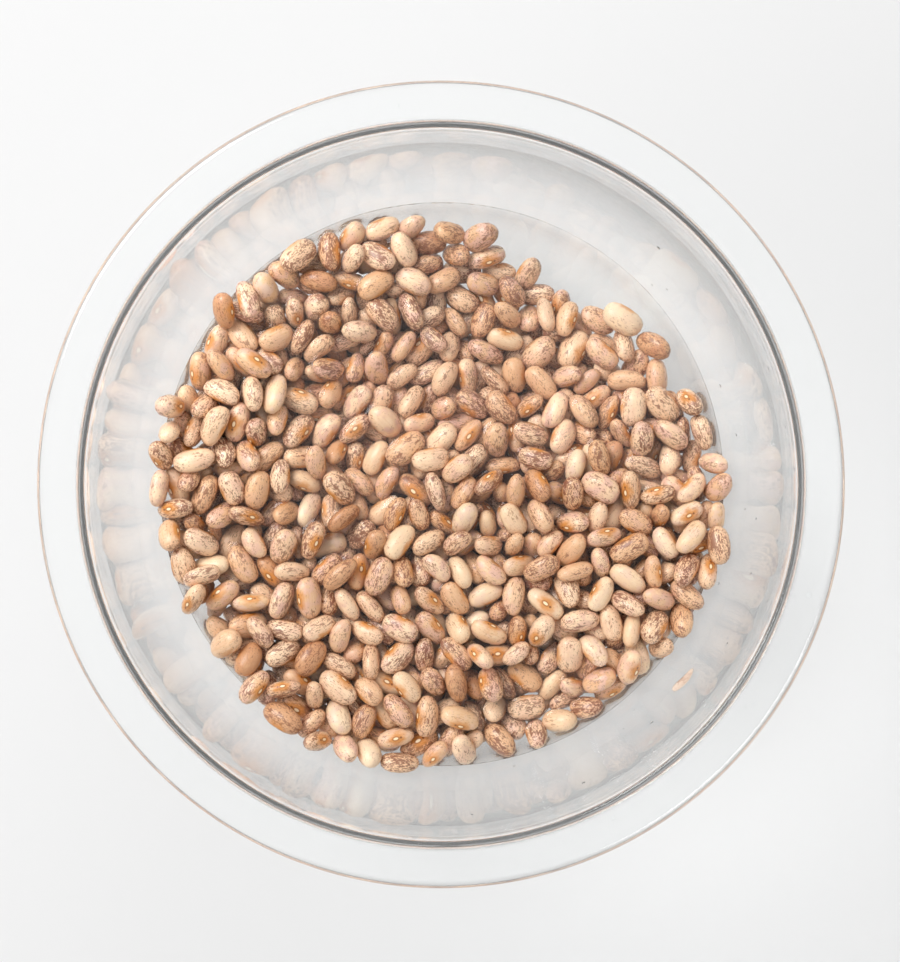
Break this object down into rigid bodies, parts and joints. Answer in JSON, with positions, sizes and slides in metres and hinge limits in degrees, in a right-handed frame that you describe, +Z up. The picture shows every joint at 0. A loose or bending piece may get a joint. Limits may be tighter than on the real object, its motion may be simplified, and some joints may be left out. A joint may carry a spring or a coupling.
{
  "type": "glass bowl of dried beans in water",
  "caption": "Clear glass mixing bowl with a wide flat rim, holding a heap of brown-speckled beans in shallow water.",
  "frame": {"origin": "middle of the bowl's flat base, on the bowl's axis", "axes": "+Z up along the bowl's axis; +Y towards the side of the bowl that is away from a cook looking down at it, +X to the right"},
  "size_m": [0.26, 0.26, 0.11],
  "materials": {
    "clear_glass": "polished clear glass, with soft highlights on its rim",
    "bean_skins": "wet, softly shining skins, beige to tan with brown speckles",
    "clear_water": "clear still water"
  },
  "bodies": {
    "root": {"glass_bowl": "clear_glass", "bean_heap": "bean_skins", "water": "clear_water"}
  },
  "joints": []
}
